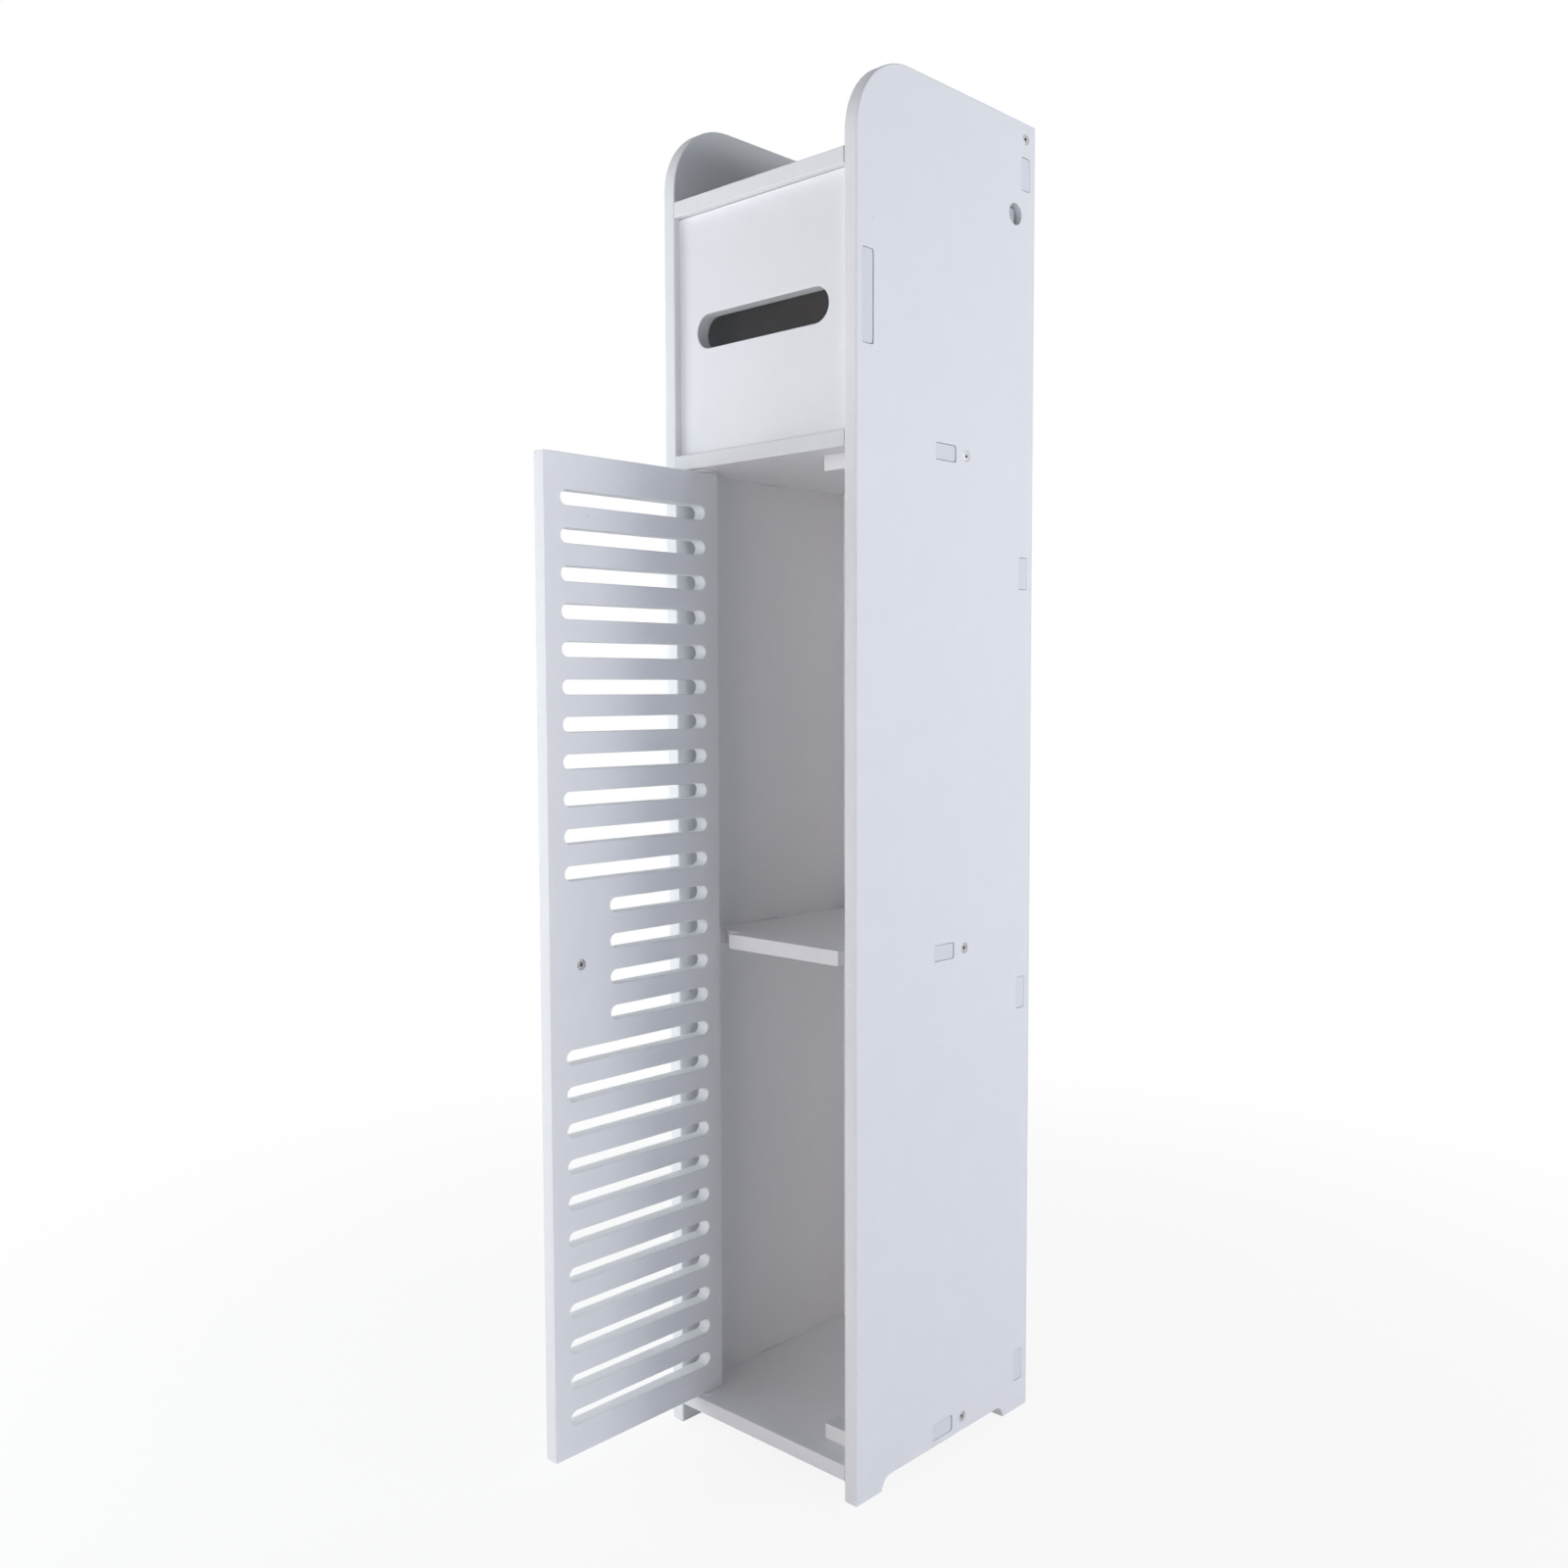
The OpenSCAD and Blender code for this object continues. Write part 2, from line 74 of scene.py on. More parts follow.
class Shading:
    """A short way to add and wire nodes in one material, world or group.

    Attributes:
        tree: The node tree that the nodes go into.
    """

    def __init__(self, tree: bpy.types.NodeTree) -> None:
        """Keeps the tree and empties it.

        Args:
            tree: The node tree to fill.
        """
        self.tree = tree
        tree.nodes.clear()

    def add(self, kind: str, **settings: object) -> bpy.types.Node:
        """Adds a node and sets its properties.

        Args:
            kind: The node's type name.
            **settings: Properties of the node.

        Returns:
            The new node.
        """
        node = self.tree.nodes.new(kind)
        for name, value in settings.items():
            setattr(node, name, value)
        return node

    def feed(self, socket: bpy.types.NodeSocket, value: object) -> None:
        """Links an output to a socket, or sets the socket's own value.

        Args:
            socket: The input socket.
            value: Another node's output, a number or a colour.
        """
        if isinstance(value, bpy.types.NodeSocket):
            self.tree.links.new(value, socket)
        elif isinstance(value, tuple) and len(value) == 3 and socket.type == "RGBA":
            socket.default_value = (*value, 1.0)
        else:
            socket.default_value = value

    def math(self, operation: str, a: object, b: object = 0.0, clamp: bool = False) -> bpy.types.NodeSocket:
        """One sum on two values.

        Args:
            operation: The name of the operation.
            a: First value or output.
            b: Second value or output.
            clamp: Whether the result is kept from 0 to 1.

        Returns:
            The result.
        """
        node = self.add("ShaderNodeMath", operation=operation, use_clamp=clamp)
        self.feed(node.inputs[0], a)
        self.feed(node.inputs[1], b)
        return node.outputs[0]

    def ramp(
        self, value: object, low: float, high: float, out_low: float = 0.0, out_high: float = 1.0
    ) -> bpy.types.NodeSocket:
        """Maps a value smoothly from one range to another.

        Args:
            value: The output to map.
            low: Where the result is out_low.
            high: Where the result is out_high.
            out_low: Result at the low end.
            out_high: Result at the high end.

        Returns:
            The mapped value.
        """
        node = self.add("ShaderNodeMapRange", interpolation_type="SMOOTHSTEP")
        self.feed(node.inputs["Value"], value)
        self.feed(node.inputs["From Min"], low)
        self.feed(node.inputs["From Max"], high)
        self.feed(node.inputs["To Min"], out_low)
        self.feed(node.inputs["To Max"], out_high)
        return node.outputs["Result"]

    def mix(self, share: object, a: object, b: object) -> bpy.types.NodeSocket:
        """Mixes two colours.

        Args:
            share: How much of b there is.
            a: First colour.
            b: Second colour.

        Returns:
            The mixed colour.
        """
        first, second, mixed = 6, 7, 2
        node = self.add("ShaderNodeMix", data_type="RGBA")
        self.feed(node.inputs[0], share)
        self.feed(node.inputs[first], a)
        self.feed(node.inputs[second], b)
        return node.outputs[mixed]

    def blend(self, share: object, a: object, b: object) -> bpy.types.NodeSocket:
        """Mixes two values.

        Args:
            share: How much of b there is.
            a: First value.
            b: Second value.

        Returns:
            The mixed value.
        """
        first, second = 2, 3
        node = self.add("ShaderNodeMix", data_type="FLOAT")
        self.feed(node.inputs[0], share)
        self.feed(node.inputs[first], a)
        self.feed(node.inputs[second], b)
        return node.outputs[0]

    def alike(self, a: object, b: object) -> bpy.types.NodeSocket:
        """How far two directions point the same way.

        Args:
            a: First direction.
            b: Second direction.

        Returns:
            1 where they are alike, 0 where they are square to each other.
        """
        node = self.add("ShaderNodeVectorMath", operation="DOT_PRODUCT")
        self.feed(node.inputs[0], a)
        self.feed(node.inputs[1], b)
        return node.outputs["Value"]

    def split(self, vector: object) -> bpy.types.NodeOutputs:
        """The X, Y and Z of a vector."""
        node = self.add("ShaderNodeSeparateXYZ")
        self.feed(node.inputs[0], vector)
        return node.outputs

    def seen(self) -> bpy.types.NodeSocket:
        """1 for what the camera or a shiny surface sees, and 0 for light on the object."""
        rays = self.add("ShaderNodeLightPath")
        return self.math("MAXIMUM", rays.outputs["Is Camera Ray"], rays.outputs["Is Glossy Ray"])

    def noise(
        self, vector: object, scale: object, detail: float = 3.0, roughness: float = 0.5
    ) -> bpy.types.NodeSocket:
        """Smooth noise over the object.

        Args:
            vector: Where it is read.
            scale: Waves per metre.
            detail: Number of finer layers.
            roughness: Strength of the finer layers.

        Returns:
            The noise, about 0 to 1.
        """
        node = self.add("ShaderNodeTexNoise")
        self.feed(node.inputs["Vector"], vector)
        self.feed(node.inputs["Scale"], scale)
        self.feed(node.inputs["Detail"], detail)
        self.feed(node.inputs["Roughness"], roughness)
        return node.outputs["Fac"]

    def place(self) -> bpy.types.NodeSocket:
        """The point in the object's own frame."""
        return self.add("ShaderNodeTexCoord").outputs["Object"]

    def facing(self) -> bpy.types.NodeSocket:
        """The normal in the object's own frame."""
        return self.add("ShaderNodeTexCoord").outputs["Normal"]


class Surface(Shading):
    """A new material with its shader in place.

    Attributes:
        made: The material.
        shader: Its shader.
    """

    def __init__(self, name: str) -> None:
        """Makes the material.

        Args:
            name: Name of the material.
        """
        self.made = bpy.data.materials.new(name)
        self.made.use_nodes = True
        super().__init__(self.made.node_tree)
        self.shader = self.add("ShaderNodeBsdfPrincipled")
        output = self.add("ShaderNodeOutputMaterial")
        self.feed(output.inputs["Surface"], self.shader.outputs["BSDF"])

    def set(self, label: str, value: object) -> None:
        """Sets one input of the shader.

        Args:
            label: Name of the input.
            value: Another node's output, a number or a colour.
        """
        self.feed(self.shader.inputs[label], value)

    def relief(self, height: object, depth: float, strength: float) -> None:
        """Gives the surface its fine relief.

        Args:
            height: Height over the surface.
            depth: What a height of 1 stands for.
            strength: How strongly it shows.
        """
        bump = self.add("ShaderNodeBump")
        self.feed(bump.inputs["Height"], height)
        self.feed(bump.inputs["Distance"], depth)
        self.feed(bump.inputs["Strength"], strength)
        self.set("Normal", bump.outputs["Normal"])


class EffectGroup(Shading):
    """A shader node group with named inputs and outputs, filled once and placed in many materials.

    Attributes:
        source: The group's input node.
        result: The group's output node.
    """

    def __init__(self, name: str, inputs: dict[str, tuple[str, object]], outputs: dict[str, str]) -> None:
        """Makes the group and its sockets.

        Args:
            name: Name of the effect.
            inputs: Socket type and default of each named input.
            outputs: Socket type of each named output.
        """
        super().__init__(bpy.data.node_groups.new(name, "ShaderNodeTree"))
        for label, (kind, default) in inputs.items():
            socket = self.tree.interface.new_socket(name=label, in_out="INPUT", socket_type=kind)
            socket.default_value = default
        for label, kind in outputs.items():
            self.tree.interface.new_socket(name=label, in_out="OUTPUT", socket_type=kind)
        self.source = self.add("NodeGroupInput")
        self.result = self.add("NodeGroupOutput")

    def given(self, label: str) -> bpy.types.NodeSocket:
        """The value that a material gives for one input."""
        return self.source.outputs[label]

    def give(self, label: str, value: object) -> None:
        """Sets one output of the group.

        Args:
            label: Name of the output.
            value: What it puts out.
        """
        self.feed(self.result.inputs[label], value)

    def use(self, shading: Shading, **values: object) -> bpy.types.Node:
        """Places the group in a material.

        Args:
            shading: The material's nodes.
            **values: Values of the inputs, with _ for each space.

        Returns:
            The group node.
        """
        node = shading.add("ShaderNodeGroup", node_tree=self.tree)
        for label, value in values.items():
            shading.feed(node.inputs[label.replace("_", " ").capitalize()], value)
        return node


FLOAT = "NodeSocketFloat"
VECTOR = "NodeSocketVector"


class Effects:
    """The surface effects that more than one finish uses."""

    def __init__(self) -> None:
        """Builds each effect once."""
        self.skin = self._skin()
        self.cut_mask = self._cut_mask()
        self.cut_face = self._cut_face()
        self.handling = self._handling()
        self.edge_rub = self._edge_rub()
        self.joint_end = self._joint_end()

    @staticmethod
    def _skin() -> EffectGroup:
        """The fine pebble and slow waviness of an extruded board's skin.

        Returns:
            A group that puts out a height and a mottling mask.
        """
        group = EffectGroup(
            "board skin",
            {"Pebble size": (FLOAT, 0.6), "Wave size": (FLOAT, 40.0)},
            {"Height": FLOAT, "Mottle": FLOAT},
        )
        pebble_height, mottles_per_wave = 0.25, 2.2
        where = group.place()
        pebbles = group.math("DIVIDE", 1.0 / MM, group.given("Pebble size"))
        waves = group.math("DIVIDE", 1.0 / MM, group.given("Wave size"))
        mottles = group.math("DIVIDE", mottles_per_wave / MM, group.given("Wave size"))
        pebble = group.noise(where, pebbles, detail=2.0)
        wave = group.noise(where, waves, detail=1.0)
        group.give("Height", group.math("ADD", group.math("MULTIPLY", pebble, pebble_height), wave))
        group.give("Mottle", group.noise(where, mottles, detail=4.0, roughness=0.6))
        return group

    @staticmethod
    def _cut_mask() -> EffectGroup:
        """Tells the sawn and routed faces of a board from its two broad faces.

        Returns:
            A group that puts out 1 on a cut face.
        """
        group = EffectGroup("cut faces", {"Skin axis": (VECTOR, (1.0, 0.0, 0.0))}, {"Mask": FLOAT})
        cut_below, skin_above = 0.55, 0.9
        along = group.math("ABSOLUTE", group.alike(group.facing(), group.given("Skin axis")))
        group.give("Mask", group.ramp(along, cut_below, skin_above, 1.0, 0.0))
        return group

    @staticmethod
    def _cut_face() -> EffectGroup:
        """The open cells of foamed board and the fine ridges that the cutter leaves.

        Returns:
            A group that puts out a height and a mask of the cells.
        """
        group = EffectGroup("cut foam", {"Cell size": (FLOAT, 0.35)}, {"Height": FLOAT, "Cells": FLOAT})
        patch_share, chatter_share = 0.16, 0.5
        cell_middle, cell_rim = 0.1, 0.5
        closed, opened = 0.42, 0.62
        where = group.place()
        scale = group.math("DIVIDE", 1.0 / MM, group.given("Cell size"))
        cells = group.add("ShaderNodeTexVoronoi")
        group.feed(cells.inputs["Vector"], where)
        group.feed(cells.inputs["Scale"], scale)
        open_cells = group.ramp(cells.outputs["Distance"], cell_middle, cell_rim, 1.0, 0.0)
        patchy = group.ramp(group.noise(where, group.math("MULTIPLY", scale, patch_share)), closed, opened)
        pits = group.math("MULTIPLY", open_cells, patchy)
        chatter = group.noise(where, group.math("MULTIPLY", scale, chatter_share), detail=2.0)
        group.give("Height", group.math("SUBTRACT", chatter, pits))
        group.give("Cells", pits)
        return group

    @staticmethod
    def _handling() -> EffectGroup:
        """Faint rubs and finger smudges that change how the skin shines.

        Returns:
            A group that puts out one mask for shine and one for colour.
        """
        group = EffectGroup("handling", {"Patch size": (FLOAT, 90.0)}, {"Shine": FLOAT, "Soil": FLOAT})
        specks_per_patch = 34.0
        untouched, rubbed = 0.35, 0.7
        bare, dusty = 0.4, 0.65
        speck_rim, speck_middle = 0.74, 0.82
        where = group.place()
        scale = group.math("DIVIDE", 1.0 / MM, group.given("Patch size"))
        smear = group.noise(where, scale, detail=5.0, roughness=0.62)
        specks = group.noise(where, group.math("MULTIPLY", scale, specks_per_patch), detail=1.0)
        group.give("Shine", group.ramp(smear, untouched, rubbed))
        dust = group.ramp(specks, speck_rim, speck_middle)
        group.give("Soil", group.math("MULTIPLY", dust, group.ramp(smear, bare, dusty)))
        return group

    @staticmethod
    def _edge_rub() -> EffectGroup:
        """Patches along the edges where the board has been knocked and rubbed.

        Returns:
            A group that puts out a mask of the rubbed places.
        """
        group = EffectGroup("edge rub", {"Reach": (FLOAT, 1.2)}, {"Mask": FLOAT})
        on_edge, on_face = 0.86, 0.995
        patches_per_mm = 0.045
        whole, knocked = 0.5, 0.62
        rounded = group.add("ShaderNodeBevel", samples=4)
        group.feed(rounded.inputs["Radius"], group.math("MULTIPLY", group.given("Reach"), MM))
        flat = group.add("ShaderNodeNewGeometry").outputs["Normal"]
        edge = group.ramp(group.alike(rounded.outputs["Normal"], flat), on_edge, on_face, 1.0, 0.0)
        patches = group.noise(group.place(), patches_per_mm / MM, detail=6.0, roughness=0.7)
        group.give("Mask", group.math("MULTIPLY", edge, group.ramp(patches, whole, knocked)))
        return group

    @staticmethod
    def _joint_end() -> EffectGroup:
        """Tells the ends of tenons and lugs, which show inside the side panels, from the rest of a board.

        Returns:
            A group that puts out 1 on such an end.
        """
        group = EffectGroup("joint ends", {"Reach": (FLOAT, 0.0)}, {"Mask": FLOAT})
        sideways = 0.7
        out = group.math("ABSOLUTE", group.split(group.place())["X"])
        turned = group.math("ABSOLUTE", group.split(group.facing())["X"])
        beyond = group.math("GREATER_THAN", out, group.given("Reach"))
        across = group.math("GREATER_THAN", turned, sideways)
        group.give("Mask", group.math("MULTIPLY", beyond, across))
        return group


# Finishes


@dataclass(frozen=True)
class BoardFinish:
    """Satin skin and cut faces of a foamed board.

    Attributes:
        name: Name of the material.
        skin: Colour of the broad faces.
        core: Colour of the cut faces.
        skin_axis: The way the broad faces look.
        skin_roughness: Roughness of the clean skin.
        core_roughness: Roughness of a cut face.
        soil: Colour that handling leaves in places.
        rub: How strongly the knocked edges show.
        end: Colour of the sawn ends of tenons and lugs that show in the side panels; the lid's dark value
            is painted shade of the lug holes.
        joint_x: Distance from the middle beyond which a face along X is such an end.
        faded: Share of its colour that the skin keeps in its duller patches.
        pitted: Share of its colour that a cut face keeps in its open cells.
        soil_share: How strongly the soil shows on the skin.
        pit_share: How strongly the open cells show on a cut face.
        rubbed_matt: What handling adds to the skin's roughness.
        mirroring: How strongly the board mirrors.
    """

    name: str
    skin: Colour = (0.89, 0.89, 0.895)
    core: Colour = (0.9, 0.9, 0.902)
    skin_axis: SkinAxis = SkinAxis.ACROSS
    skin_roughness: float = 0.42
    core_roughness: float = 0.62
    soil: Colour = (0.52, 0.52, 0.53)
    rub: float = 0.22
    end: Colour = (0.81, 0.825, 0.845)
    joint_x: float = 67.2 * MM
    faded: float = 0.988
    pitted: float = 0.86
    soil_share: float = 0.35
    pit_share: float = 0.6
    rubbed_matt: float = 0.1
    mirroring: float = 0.25

    def material(self, effects: Effects) -> bpy.types.Material:
        """Builds the material.

        Args:
            effects: The shared effects.

        Returns:
            The board material.
        """
        clear, mottled = 0.3, 0.7
        board = Surface(self.name)
        cut = effects.cut_mask.use(board, skin_axis=self.skin_axis.value).outputs["Mask"]
        skin = effects.skin.use(board, pebble_size=0.7, wave_size=45.0)
        foam = effects.cut_face.use(board, cell_size=0.35)
        handled = effects.handling.use(board, patch_size=90.0)
        darker = tuple(self.faded * c for c in self.skin)
        tone = board.mix(board.ramp(skin.outputs["Mottle"], clear, mottled), self.skin, darker)
        soiling = board.math("MULTIPLY", handled.outputs["Soil"], self.soil_share)
        soiled = board.mix(soiling, tone, self.soil)
        pits = tuple(self.pitted * c for c in self.core)
        core = board.mix(board.math("MULTIPLY", foam.outputs["Cells"], self.pit_share), self.core, pits)
        rubbed = board.math("MULTIPLY", effects.edge_rub.use(board, reach=1.2).outputs["Mask"], self.rub)
        worn = board.mix(rubbed, board.mix(cut, soiled, core), self.soil)
        end = effects.joint_end.use(board, reach=self.joint_x).outputs["Mask"]
        board.set("Base Color", board.mix(end, worn, self.end))
        dullest = self.skin_roughness + self.rubbed_matt
        shine = board.ramp(handled.outputs["Shine"], 0.0, 1.0, self.skin_roughness, dullest)
        board.set("Roughness", board.blend(cut, shine, self.core_roughness))
        height = board.blend(cut, skin.outputs["Height"], foam.outputs["Height"])
        board.relief(height, depth=0.06 * MM, strength=0.6)
        board.set("Specular IOR Level", self.mirroring)
        return board.made


@dataclass(frozen=True)
class PlasticFinish:
    """Moulded plastic with faint flow marks.

    Attributes:
        name: Name of the material.
        colour: Colour of the plastic.
        roughness: Roughness between the flow marks.
        faded: Share of its colour that the plastic keeps in the flow marks.
        rubbed_matt: What handling adds to the roughness.
    """

    name: str
    colour: Colour
    roughness: float
    faded: float = 0.95
    rubbed_matt: float = 0.12

    def material(self, effects: Effects) -> bpy.types.Material:
        """Builds the material.

        Args:
            effects: The shared effects.

        Returns:
            The plastic material.
        """
        plastic = Surface(self.name)
        skin = effects.skin.use(plastic, pebble_size=0.5, wave_size=9.0)
        darker = tuple(self.faded * c for c in self.colour)
        plastic.set("Base Color", plastic.mix(skin.outputs["Mottle"], self.colour, darker))
        handled = effects.handling.use(plastic, patch_size=14.0)
        dullest = self.roughness + self.rubbed_matt
        plastic.set("Roughness", plastic.ramp(handled.outputs["Shine"], 0.0, 1.0, self.roughness, dullest))
        plastic.relief(skin.outputs["Height"], depth=0.03 * MM, strength=0.5)
        return plastic.made


@dataclass(frozen=True)
class SteelFinish:
    """Zinc-plated steel with the dull cloud that plating has.

    Attributes:
        name: Name of the material.
        bright: Colour of the clean plating.
        dull: Colour of its clouds.
        recess_shade: Colour of the painted shade in the cross recess and round the head.
        shade_reach: How far from a wall the painted shade reaches.
        roughness: Roughness of the clean plating.
        dull_roughness: Roughness of its clouds.
    """

    name: str
    bright: Colour = (0.56, 0.565, 0.58)
    dull: Colour = (0.38, 0.385, 0.4)
    recess_shade: Colour = (0.07, 0.07, 0.075)
    shade_reach: float = 1.6 * MM
    roughness: float = 0.22
    dull_roughness: float = 0.42

    def material(self, effects: Effects) -> bpy.types.Material:
        """Builds the material.

        Args:
            effects: The shared effects.

        Returns:
            The steel material.
        """
        walled_in, in_the_open = 0.35, 0.9
        steel = Surface(self.name)
        cloud = effects.handling.use(steel, patch_size=2.5).outputs["Shine"]
        # Painted shade: an occlusion mask darkens the cross recess and the rim round the head nearly to
        # black, where shade falls.
        open_to_air = steel.add("ShaderNodeAmbientOcclusion", samples=8)
        steel.feed(open_to_air.inputs["Distance"], self.shade_reach)
        untouched = steel.ramp(open_to_air.outputs["AO"], walled_in, in_the_open)
        plated = steel.mix(cloud, self.bright, self.dull)
        steel.set("Base Color", steel.mix(untouched, self.recess_shade, plated))
        steel.set("Metallic", 1.0)
        steel.set("Roughness", steel.ramp(cloud, 0.0, 1.0, self.roughness, self.dull_roughness))
        skin = effects.skin.use(steel, pebble_size=0.2, wave_size=1.5)
        steel.relief(skin.outputs["Height"], depth=0.02 * MM, strength=0.4)
        return steel.made


# Pieces


@dataclass(frozen=True)
class Zone:
    """A box in which a piece keeps the sharp edges that the cutter left.

    Attributes:
        low: Lowest corner.
        high: Highest corner.
    """

    low: Place
    high: Place


@dataclass(frozen=True)
class Softening:
    """How far the sharp edges of a cut board are eased, and where they aren't.

    Attributes:
        width: Width of the eased edge, in metres.
        sharp: Where the edges stay sharp.
        segments: Number of steps round an eased edge.
        turn: Least angle between the faces at an edge, in degrees.
        merge: Distance within which points are one.
        flat: Greatest angle between two faces that are one flat face, in degrees.
    """

    width: float
    sharp: tuple[Zone, ...]
    segments: int = 3
    turn: float = 40.0
    merge: float = 0.002 * MM
    flat: float = 0.4

    def apply(self, piece: bpy.types.Object) -> None:
        """Adds the modifiers to one piece.

        Args:
            piece: The piece to soften.
        """
        weld = piece.modifiers.new("weld", "WELD")
        weld.merge_threshold = self.merge
        flat = piece.modifiers.new("flat", "DECIMATE")
        flat.decimate_type = "DISSOLVE"
        flat.angle_limit = math.radians(self.flat)
        choice = piece.modifiers.new("choice", "NODES")
        choice.node_group = self._choice()
        ease = piece.modifiers.new("ease", "BEVEL")
        ease.width = self.width
        ease.segments = self.segments
        ease.limit_method = "WEIGHT"
        ease.use_clamp_overlap = False
        ease.loop_slide = False
        ease.miter_outer = "MITER_ARC"
        normals = piece.modifiers.new("normals", "WEIGHTED_NORMAL")
        normals.keep_sharp = True

    def _choice(self) -> bpy.types.NodeTree:
        """Marks the edges to ease and the edges that stay sharp.

        Returns:
            The node group that does it.
        """
        tree = bpy.data.node_groups.new("edge choice", "GeometryNodeTree")
        tree.interface.new_socket(name="Geometry", in_out="INPUT", socket_type="NodeSocketGeometry")
        tree.interface.new_socket(name="Geometry", in_out="OUTPUT", socket_type="NodeSocketGeometry")
        nodes = Shading(tree)
        source = nodes.add("NodeGroupInput").outputs["Geometry"]
        bend = nodes.add("GeometryNodeInputMeshEdgeAngle").outputs["Unsigned Angle"]
        corner = nodes.math("GREATER_THAN", bend, math.radians(self.turn))
        where = nodes.split(nodes.add("GeometryNodeInputPosition").outputs["Position"])
        kept = 0.0
        for zone in self.sharp:
            inside = 1.0
            for place, low, high in zip(where, zone.low, zone.high):
                inside = nodes.math("MULTIPLY", inside, nodes.math("GREATER_THAN", place, low))
                inside = nodes.math("MULTIPLY", inside, nodes.math("LESS_THAN", place, high))
            kept = nodes.math("MAXIMUM", kept, inside)
        eased = nodes.math("MULTIPLY", corner, nodes.math("SUBTRACT", 1.0, kept))
        weighed = self._store(nodes, source, "bevel_weight_edge", "FLOAT", eased)
        marked = self._store(nodes, weighed, "sharp_edge", "BOOLEAN", nodes.math("SUBTRACT", corner, eased))
        nodes.feed(nodes.add("NodeGroupOutput").inputs["Geometry"], marked)
        return tree

    @staticmethod
    def _store(
        nodes: Shading, geometry: bpy.types.NodeSocket, name: str, kind: str, value: bpy.types.NodeSocket
    ) -> bpy.types.NodeSocket:
        """Writes one value on every edge.

        Args:
            nodes: The group's nodes.
            geometry: The geometry before.
            name: Name of the value.
            kind: Its type.
            value: The value.

        Returns:
            The geometry after.
        """
        store = nodes.add("GeometryNodeStoreNamedAttribute", data_type=kind, domain="EDGE")
        nodes.feed(store.inputs["Name"], name)
        nodes.feed(store.inputs["Geometry"], geometry)
        nodes.feed(store.inputs["Value"], value)
        return store.outputs["Geometry"]


def dress(name: str, finish: bpy.types.Material) -> bpy.types.Object:
    """Gives a CAD piece its finish.

    Args:
        name: Name of the CAD node.
        finish: Its material.

    Returns:
        The piece.
    """
    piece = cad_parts[name]
    for place in piece.material_slots:
        place.material = finish
    LOG.info("dressed %s", name)
    return piece


@dataclass
class BoardAssembly:
    """Boards that share a way of lying and a finish.

    Attributes:
        nodes: Names of the CAD nodes.
        finish: Their finish.
        slot: Name of a material slot; not used.
        softening: How their edges are eased.
    """

    nodes: tuple[str, ...]
    finish: BoardFinish
    softening: Softening
    slot: str = "white_board"

    def build(self, effects: Effects) -> None:
        """Dresses each board.

        Args:
            effects: The shared effects.
        """
        made = self.finish.material(effects)
        for name in self.nodes:
            self.softening.apply(dress(name, made))


@dataclass
class Fittings:
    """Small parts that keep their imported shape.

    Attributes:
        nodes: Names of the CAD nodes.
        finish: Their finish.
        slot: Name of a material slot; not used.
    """

    nodes: tuple[str, ...]
    finish: PlasticFinish
    slot: str

    def build(self, effects: Effects) -> None:
        """Dresses each part.

        Args:
            effects: The shared effects.
        """
        made = self.finish.material(effects)
        for name in self.nodes:
            dress(name, made)


